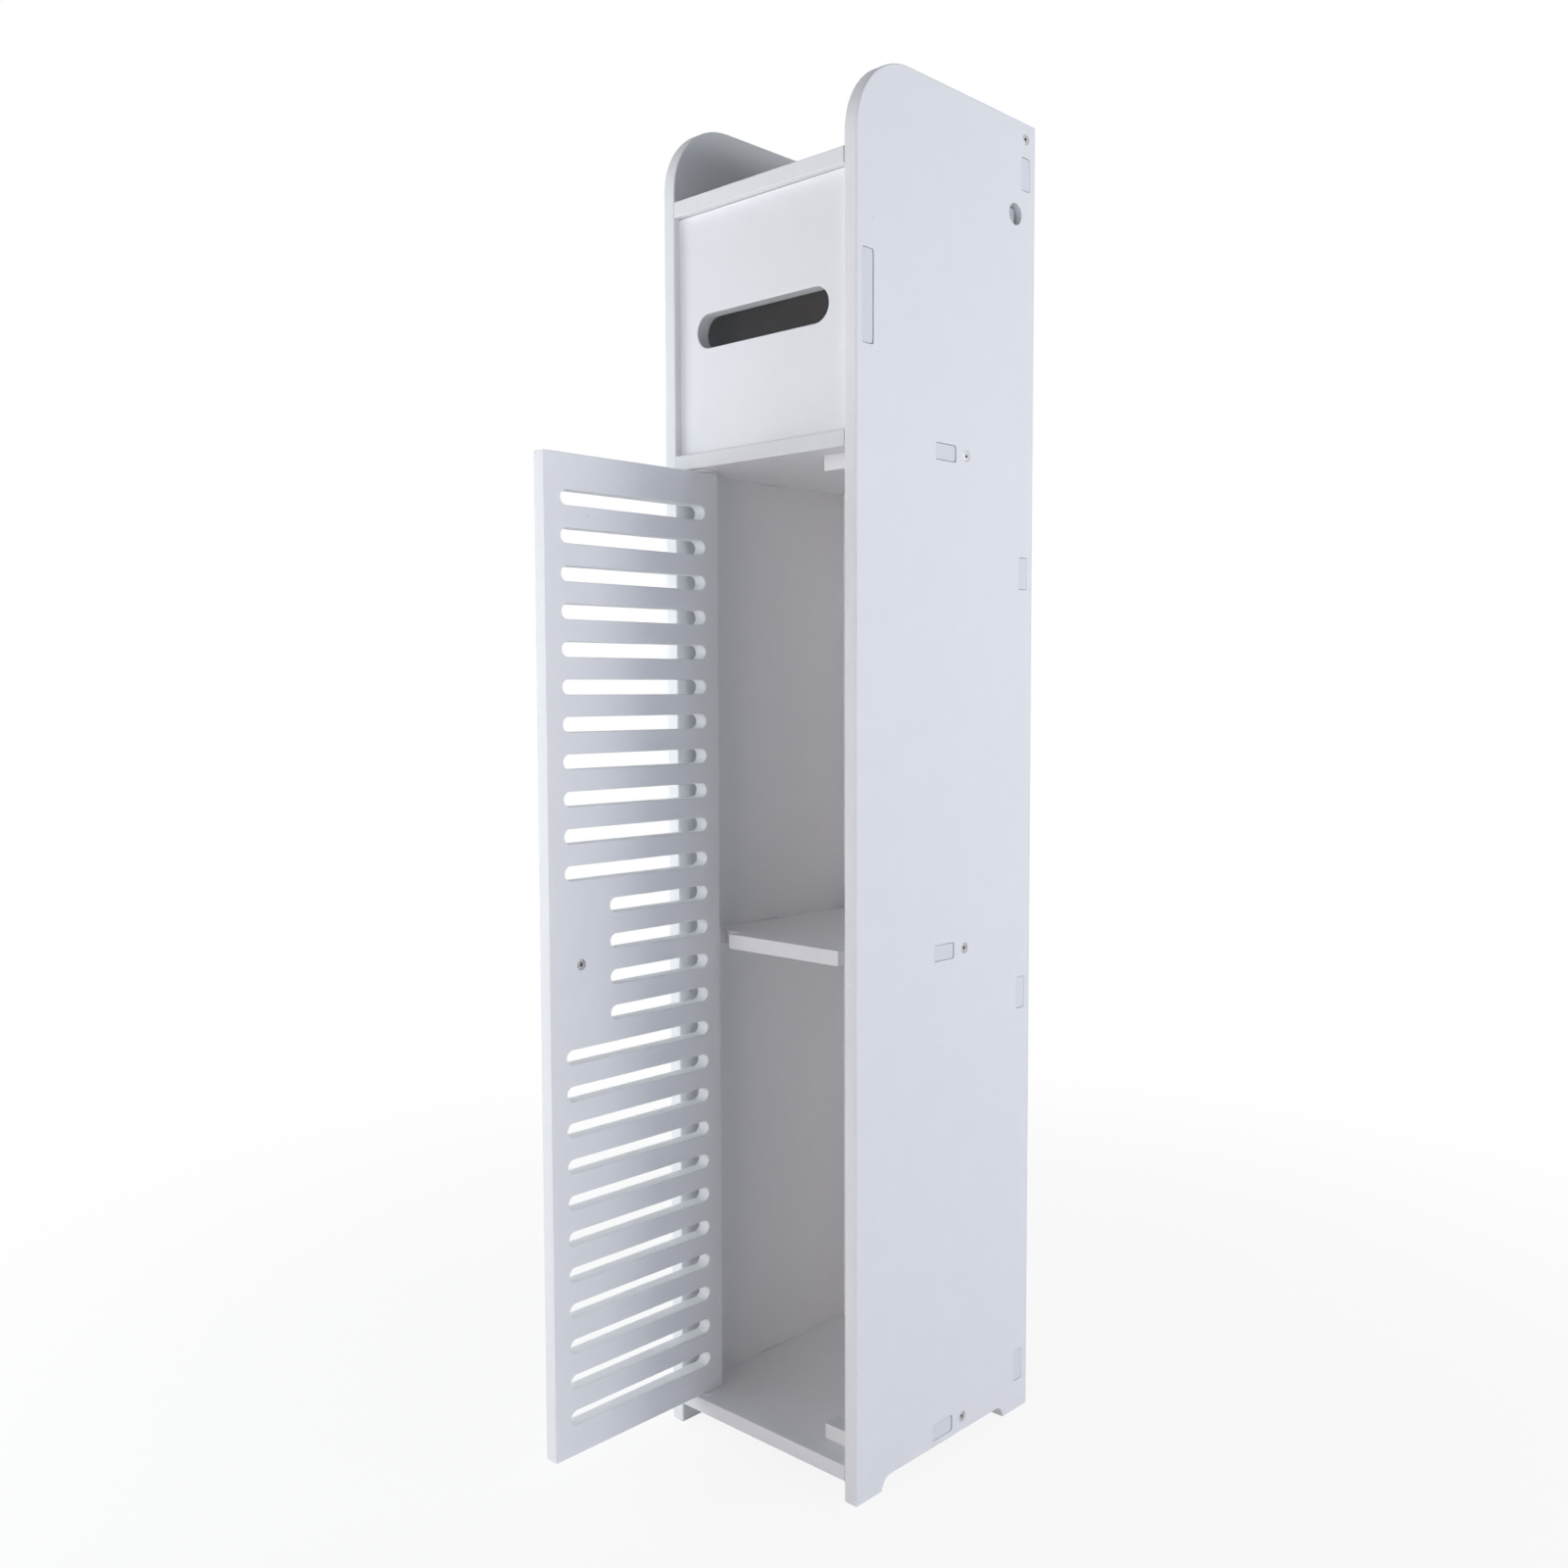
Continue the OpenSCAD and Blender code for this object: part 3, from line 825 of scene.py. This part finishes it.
@dataclass(frozen=True)
class CrossHeadScrew:
    """A countersunk screw with a tapered cross recess and a rolled thread.

    Attributes:
        length: Length from the top of the head to the point.
        head_r: Radius of the head.
        core_r: Radius at the bottom of the thread.
        crest_r: Radius at the top of the thread.
        pitch: Distance from one turn of the thread to the next.
        point_l: Length of the point.
        recess_r: Reach of each arm of the cross.
        arm_w: Half width of an arm where it leaves the middle.
        recess_h: Depth of the cross.
        recess_share: Share of its size that the cross keeps at its floor.
        crown: Height of the head's rounded rim.
        thread_gap: Length of bare core under the head.
        steps: Number of steps round the screw.
    """

    length: float
    head_r: float = 3.1 * MM
    core_r: float = 1.25 * MM
    crest_r: float = 1.72 * MM
    pitch: float = 1.4 * MM
    point_l: float = 4.0 * MM
    recess_r: float = 1.75 * MM
    arm_w: float = 0.42 * MM
    recess_h: float = 1.3 * MM
    recess_share: float = 0.5
    crown: float = 0.08 * MM
    thread_gap: float = 1.6 * MM
    steps: int = 40

    def add(self, mesh: bmesh.types.BMesh, placed: Matrix) -> None:
        """Adds the screw to a mesh.

        Args:
            mesh: The mesh that it is added to.
            placed: Where the head's top is, with +Z the way that it looks.
        """
        made = [*self._head(mesh), *self._thread(mesh)]
        bmesh.ops.transform(mesh, matrix=placed, verts=made)

    def _ring(self, mesh: bmesh.types.BMesh, radius: float, z: float) -> Loop:
        """One circle of the turned shape.

        Args:
            mesh: The mesh that it is added to.
            radius: Its radius.
            z: Its height.

        Returns:
            The circle's points, in order.
        """
        turns = [math.tau * i / self.steps for i in range(self.steps)]
        return [mesh.verts.new((radius * math.cos(a), radius * math.sin(a), z)) for a in turns]

    @staticmethod
    def _join(mesh: bmesh.types.BMesh, upper: Loop, lower: Loop, smooth: bool) -> None:
        """Puts faces between two loops of as many points.

        Args:
            mesh: The mesh that they are in.
            upper: The upper loop.
            lower: The lower loop.
            smooth: Whether the faces are shaded smooth.
        """
        count = len(upper)
        for i in range(count):
            j = (i + 1) % count
            face = mesh.faces.new((upper[i], lower[i], lower[j], upper[j]))
            face.smooth = smooth

    def _cross(self, mesh: bmesh.types.BMesh, reach: float, z: float) -> Loop:
        """The outline of the cross at one depth.

        Args:
            mesh: The mesh that it is added to.
            reach: Share of the size that it has at the top.
            z: Its height.

        Returns:
            The outline's points, in order.
        """
        narrowest, shoulder_in, shoulder_w = 0.45, 0.5, 0.8
        width = self.arm_w * (narrowest + (1.0 - narrowest) * reach)
        tip = self.recess_r * reach
        shoulder = tip - shoulder_in * width
        arm = ((width, -width), (shoulder, -shoulder_w * width), (tip, 0.0), (shoulder, shoulder_w * width))
        made = []
        for quarter in range(4):
            turn = Matrix.Rotation(quarter * math.pi / 2, 2)
            for corner in arm:
                place = turn @ Vector(corner)
                made.append(mesh.verts.new((place.x, place.y, z)))
        return made

    def _head(self, mesh: bmesh.types.BMesh) -> Loop:
        """The head with its recess, and the core down to the point.

        Args:
            mesh: The mesh that they are added to.

        Returns:
            Their points.
        """
        neck_l, point_r = 0.6 * MM, 0.06 * MM
        rim_in, rim_out = 0.9 * self.head_r, 0.965 * self.head_r
        dip, edge = 0.25 * self.crown, 1.5 * self.crown
        cone_h = self.head_r - self.crest_r
        profile = (
            (rim_in, -dip),
            (rim_out, -self.crown),
            (self.head_r - edge, -edge),
            (self.crest_r, -cone_h),
            (self.core_r, -cone_h - neck_l),
            (self.core_r, self.point_l - self.length),
            (point_r, -self.length),
        )
        rings = [self._ring(mesh, radius, z) for radius, z in profile]
        for upper, lower in zip(rings, rings[1:]):
            self._join(mesh, upper, lower, True)
        mesh.faces.new(reversed(rings[-1]))
        rim = self._cross(mesh, 1.0, 0.0)
        floor = self._cross(mesh, self.recess_share, -self.recess_h)
        self._join(mesh, list(reversed(rim)), list(reversed(floor)), False)
        mesh.faces.new(floor)
        loops = []
        for loop in (rings[0], rim):
            for i, start in enumerate(loop):
                end = loop[(i + 1) % len(loop)]
                loops.append(mesh.edges.get((start, end)) or mesh.edges.new((start, end)))
        bmesh.ops.triangle_fill(mesh, use_beauty=True, edges=loops, normal=(0.0, 0.0, 1.0))
        return [point for loop in (*rings, rim, floor) for point in loop]

    def _thread(self, mesh: bmesh.types.BMesh) -> Loop:
        """The rolled thread round the core.

        Args:
            mesh: The mesh that it is added to.

        Returns:
            Its points.
        """
        tip_l, root_share, runs_out, flank = 0.6 * MM, 0.9, 4.0, 0.2
        top = self.crest_r - self.head_r - self.thread_gap
        bottom = tip_l - self.length
        root_r = root_share * self.core_r
        count = int((top - bottom) / self.pitch * self.steps)
        made = []
        before = None
        for i in range(count + 1):
            angle = math.tau * i / self.steps
            z = top - self.pitch * i / self.steps
            narrow = min(1.0, (z + self.length) / self.point_l)
            ends = min(1.0, runs_out * i / self.steps, runs_out * (count - i) / self.steps)
            low = root_r * narrow
            high = low + (self.crest_r - root_r) * narrow * ends
            row = []
            for radius, drop in ((low, flank), (high, 0.0), (low, -flank)):
                place = (radius * math.cos(angle), radius * math.sin(angle), z + drop * self.pitch)
                row.append(mesh.verts.new(place))
            if before:
                mesh.faces.new((before[0], before[1], row[1], row[0]))
                mesh.faces.new((before[1], before[2], row[2], row[1]))
            made.extend(row)
            before = row
        return made


@dataclass
class ScrewSet:
    """Like screws that stand for one CAD node, looking outwards along X.

    Attributes:
        node: Name of the CAD node.
        body: The body that they ride on.
        screw: Their shape.
        both_sides: Whether there is one on each side of the cabinet.
        turn: How far each cross is turned, in degrees.
    """

    node: str
    body: str
    screw: CrossHeadScrew
    both_sides: bool = True
    turn: tuple[float, float] = (18.0, -33.0)

    def build(self, finish: bpy.types.Material) -> None:
        """Makes the screws in place of the CAD node.

        Args:
            finish: The steel.
        """
        low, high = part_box(self.node)
        middle = (low + high) / 2
        mesh = bmesh.new()
        sides = ((high.x, 1.0), (low.x, -1.0)) if self.both_sides else ((high.x, 1.0),)
        for (x, way), turn in zip(sides, self.turn):
            looks = Matrix.Rotation(way * math.pi / 2, 4, "Y") @ Matrix.Rotation(math.radians(turn), 4, "Z")
            self.screw.add(mesh, Matrix.Translation((x, middle.y, middle.z)) @ looks)
        bmesh.ops.recalc_face_normals(mesh, faces=mesh.faces)
        data = bpy.data.meshes.new(f"{self.node}_turned")
        mesh.to_mesh(data)
        mesh.free()
        data.materials.append(finish)
        screws = bpy.data.objects.new(f"{self.node}_turned", data)
        bpy.context.scene.collection.objects.link(screws)
        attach(screws, self.body)
        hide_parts(self.node)
        LOG.info("turned %s", self.node)


# Stage


@dataclass(frozen=True)
class Lamp:
    """A soft box beside the cabinet.

    Attributes:
        name: Name of the lamp.
        place: Where it stands.
        aim: What it looks at.
        size: Width and height.
        power: Watts.
        tint: Colour of its light.
    """

    name: str
    place: Place
    aim: Place
    size: tuple[float, float]
    power: float
    tint: Colour = WHITE

    def build(self) -> None:
        """Makes the lamp."""
        data = bpy.data.lights.new(self.name, "AREA")
        data.shape = "RECTANGLE"
        data.size, data.size_y = self.size
        data.energy = self.power
        data.color = self.tint
        lamp = bpy.data.objects.new(self.name, data)
        lamp.location = self.place
        away = Vector(self.place) - Vector(self.aim)
        lamp.rotation_euler = away.to_track_quat("Z", "Y").to_euler()
        bpy.context.scene.collection.objects.link(lamp)


# Where most of the lamps look
MIDDLE = (0.0, 0.0, 0.45)


@dataclass
class Studio:
    """Plain pale floor, soft light and the camera.

    Attributes:
        lamps: The soft boxes.
        ambient: Colour of the light from all round.
        ambient_strength: Its strength from the sides.
        ambient_above: Its strength from above and below.
        ambient_height: Sine of the angle above the horizon at which that begins.
        floor_radius: Radius of the floor.
        floor_colour: Colour of the floor where light falls on it.
        shadow_share: How much of its light the floor gives by itself under the cabinet.
        fade: Distances from the middle between which the floor turns white.
        camera_place: Where the camera stands.
        yaw: Turn of the view from +Y towards -X, in radians.
        pitch: Tilt of the view above the horizon, in radians.
        roll: Roll of the camera, in radians.
        focal_px: Focal length in pixels of the picture.
        picture_px: Width of the picture in pixels.
    """

    lamps: tuple[Lamp, ...] = (
        Lamp("right soft box", (1.9, 0.25, 0.77), MIDDLE, (1.4, 0.56), 11.4, (0.72, 0.8, 1.0)),
        Lamp("rear right soft box", (1.7, 0.85, 0.77), MIDDLE, (1.0, 0.56), 12.0, (1.0, 0.959, 0.897)),
        Lamp("left soft box", (-0.9, -0.6, 0.55), MIDDLE, (0.5, 0.6), 4.5, (0.95, 0.99, 1.0)),
        Lamp("left strip", (-0.45, -0.62, 0.45), (-0.05, -0.1, 0.45), (0.25, 0.8), 0.8, (0.63, 0.89, 1.0)),
        Lamp("front fill", (0.35, -2.2, 0.4), MIDDLE, (1.5, 1.2), 10.8, (0.965, 0.925, 1.0)),
        Lamp("high front box", (-0.2, -1.9, 1.1), MIDDLE, (1.2, 0.5), 3.5, (0.98, 0.95, 1.0)),
        Lamp("left side box", (-1.9, 0.35, 0.62), MIDDLE, (1.4, 0.7), 9.4, (0.97, 0.98, 1.0)),
        Lamp("rear box", (-0.25, 2.2, 0.62), MIDDLE, (1.4, 0.7), 10.5, (0.97, 0.98, 1.0)),
        Lamp("top box", (-0.5, 0.5, 2.2), MIDDLE, (1.0, 1.0), 3.0, (0.97, 0.98, 1.0)),
        Lamp("low front strip", (0.15, -1.7, 0.1), MIDDLE, (1.2, 0.18), 3.2, (1.0, 0.79, 0.69)),
    )
    ambient: Colour = (0.58, 0.82, 1.0)
    ambient_strength: float = 0.2
    ambient_above: float = 0.03
    ambient_height: float = 0.45
    floor_radius: float = 6.0
    floor_colour: Colour = (0.86, 0.87, 0.9)
    shadow_share: float = 0.88
    fade: tuple[float, float] = (0.3, 1.0)
    camera_place: Place = (0.596775, -0.693875, 0.457888)
    yaw: float = 0.7560
    pitch: float = -0.0630
    roll: float = -0.0030
    focal_px: float = 1505.6
    picture_px: float = 1600.0

    def build(self) -> None:
        """Makes floor, world, lamps and camera, in that order."""
        self._floor()
        self._world()
        for lamp in self.lamps:
            lamp.build()
        self._camera()
        bpy.context.scene.view_settings.view_transform = "Standard"
        LOG.info("stage is set")

    def _floor(self) -> None:
        """A pale disc that keeps a soft shadow and fades to white far away."""
        bpy.ops.mesh.primitive_circle_add(vertices=96, radius=self.floor_radius, fill_type="NGON")
        floor = bpy.context.object
        floor.name = "floor"
        made = bpy.data.materials.new("pale floor")
        made.use_nodes = True
        nodes = Shading(made.node_tree)
        diffuse = nodes.add("ShaderNodeBsdfDiffuse")
        nodes.feed(diffuse.inputs["Color"], self.floor_colour)
        glow = nodes.add("ShaderNodeEmission")
        nodes.feed(glow.inputs["Color"], WHITE)
        nodes.feed(glow.inputs["Strength"], 1.0)
        far = nodes.add("ShaderNodeVectorMath", operation="LENGTH")
        nodes.feed(far.inputs[0], nodes.place())
        fade = nodes.ramp(far.outputs["Value"], *self.fade, self.shadow_share, 1.0)
        share = nodes.math("MULTIPLY", fade, nodes.seen())
        mixed = nodes.add("ShaderNodeMixShader")
        nodes.feed(mixed.inputs[0], share)
        nodes.feed(mixed.inputs[1], diffuse.outputs[0])
        nodes.feed(mixed.inputs[2], glow.outputs[0])
        output = nodes.add("ShaderNodeOutputMaterial")
        nodes.feed(output.inputs["Surface"], mixed.outputs[0])
        floor.data.materials.append(made)

    def _world(self) -> None:
        """White where it is seen, and soft light that is weaker from above and below."""
        world = bpy.data.worlds.new("studio")
        bpy.context.scene.world = world
        world.use_nodes = True
        nodes = Shading(world.node_tree)
        light = nodes.add("ShaderNodeBackground")
        nodes.feed(light.inputs["Color"], self.ambient)
        way = nodes.add("ShaderNodeTexCoord").outputs["Generated"]
        height = nodes.math("ABSOLUTE", nodes.split(way)["Z"])
        strength = nodes.ramp(height, 0.0, self.ambient_height, self.ambient_strength, self.ambient_above)
        nodes.feed(light.inputs["Strength"], strength)
        white = nodes.add("ShaderNodeBackground")
        nodes.feed(white.inputs["Color"], WHITE)
        mixed = nodes.add("ShaderNodeMixShader")
        nodes.feed(mixed.inputs[0], nodes.seen())
        nodes.feed(mixed.inputs[1], light.outputs[0])
        nodes.feed(mixed.inputs[2], white.outputs[0])
        output = nodes.add("ShaderNodeOutputWorld")
        nodes.feed(output.inputs["Surface"], mixed.outputs[0])

    def _camera(self) -> None:
        """The camera at the photograph's viewing angle."""
        data = bpy.data.cameras.new("camera")
        data.sensor_width = 36.0
        data.lens = self.focal_px / self.picture_px * data.sensor_width
        data.clip_start = 0.01
        camera = bpy.data.objects.new("camera", data)
        turn = Matrix.Rotation(self.yaw, 4, "Z")
        tilt = Matrix.Rotation(math.pi / 2 + self.pitch, 4, "X")
        lean = Matrix.Rotation(self.roll, 4, "Z")
        camera.matrix_world = Matrix.Translation(self.camera_place) @ turn @ tilt @ lean
        bpy.context.scene.collection.objects.link(camera)
        bpy.context.scene.camera = camera


def panel_softening() -> Softening:
    """Eases the outline of a side panel, but not its mortises and holes.

    Returns:
        The softening.
    """
    low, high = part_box("side_panel_right")
    inset, arch, corner = 3.0 * MM, 8.5 * MM, 46.0 * MM
    below = Zone((-FAR, low.y + inset, arch), (FAR, high.y - inset, high.z - corner))
    above = Zone((-FAR, low.y + corner, high.z - corner), (FAR, high.y - inset, high.z - inset))
    return Softening(0.9 * MM, (below, above))


def board_softening(margin: float) -> Softening:
    """Eases the edges of a board between the side panels, but not its tenons or lugs.

    Args:
        margin: How far inside the side panels the sharp ends begin.

    Returns:
        The softening.
    """
    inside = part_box("side_panel_right")[0].x - margin
    right = Zone((inside, -FAR, -FAR), (FAR, FAR, FAR))
    left = Zone((-FAR, -FAR, -FAR), (-inside, FAR, FAR))
    return Softening(EASED, (right, left))


def door_softening() -> Softening:
    """Eases the outline and the slots of the door, but not the hole of the knob's screw.

    Returns:
        The softening.
    """
    low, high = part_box("knob_screw")
    middle, reach = (low + high) / 2, 5.0 * MM
    hole = Zone((-FAR, middle.y - reach, middle.z - reach), (FAR, middle.y + reach, middle.z + reach))
    return Softening(EASED, (hole,))


def build_boards(effects: Effects) -> None:
    """Dresses the carcass, the lid, the door and its stops.

    Args:
        effects: The shared effects.
    """
    tenon_margin, lug_margin = 0.02 * MM, 0.6 * MM
    board = board_softening(tenon_margin)
    upright = ("side_panel_right", "side_panel_left")
    side_finish = BoardFinish("side board", joint_x=FAR)
    BoardAssembly(upright, side_finish, panel_softening()).build(effects)
    level = ("bottom_board", "middle_shelf", "divider_board")
    level_finish = BoardFinish("level board", core=(0.84, 0.84, 0.842), skin_axis=SkinAxis.UP)
    BoardAssembly(level, level_finish, board).build(effects)
    # The lid's lug ends get a dark colour: painted shade of the deep holes in the side panels where they
    # sit.
    lid_finish = BoardFinish("lid board", skin_axis=SkinAxis.UP, end=(0.5, 0.51, 0.54))
    BoardAssembly(("lid",), lid_finish, board_softening(lug_margin)).build(effects)
    facing = ("back_panel", "tissue_front")
    BoardAssembly(facing, BoardFinish("facing board", skin_axis=SkinAxis.DEPTH), board).build(effects)
    BoardAssembly(("door",), BoardFinish("door board"), door_softening(), "door_board").build(effects)
    blocks = ("stop_block_top", "stop_block_bottom")
    sawn: Colour = (0.82, 0.818, 0.812)
    block_finish = BoardFinish("block board", skin=sawn, core=sawn, skin_axis=SkinAxis.UP)
    BoardAssembly(blocks, block_finish, board, "block_board").build(effects)


def build_fittings(effects: Effects) -> None:
    """Dresses the pins, the washers and the knob.

    Args:
        effects: The shared effects.
    """
    pivots = ("door_pin_top", "door_pin_bottom", "door_washer_top", "door_washer_bottom")
    pivot_finish = PlasticFinish("pivot plastic", (0.85, 0.85, 0.87), 0.35)
    Fittings(pivots, pivot_finish, "pivot_plastic").build(effects)
    knob_finish = PlasticFinish("knob plastic", (0.84, 0.85, 0.88), 0.2)
    Fittings(("knob",), knob_finish, "knob_plastic").build(effects)


def build_screws(effects: Effects) -> None:
    """Turns the screws of the side panels and of the knob.

    Args:
        effects: The shared effects.
    """
    steel = SteelFinish("screw steel").material(effects)
    long_screw = CrossHeadScrew(25.0 * MM)
    ScrewSet("divider_screws", "carcass", long_screw).build(steel)
    ScrewSet("shelf_screws", "carcass", long_screw, turn=(62.0, 8.0)).build(steel)
    ScrewSet("bottom_board_screws", "carcass", long_screw, turn=(40.0, -12.0)).build(steel)
    ScrewSet("back_panel_screws", "carcass", long_screw, turn=(5.0, 71.0)).build(steel)
    ScrewSet("knob_screw", "door", CrossHeadScrew(18.0 * MM), both_sides=False).build(steel)


def main() -> None:
    """Builds the cabinet's looks in order."""
    logging.basicConfig(level=logging.INFO)
    effects = Effects()
    Studio().build()
    build_boards(effects)
    build_fittings(effects)
    build_screws(effects)


if __name__ == "__main__":
    main()
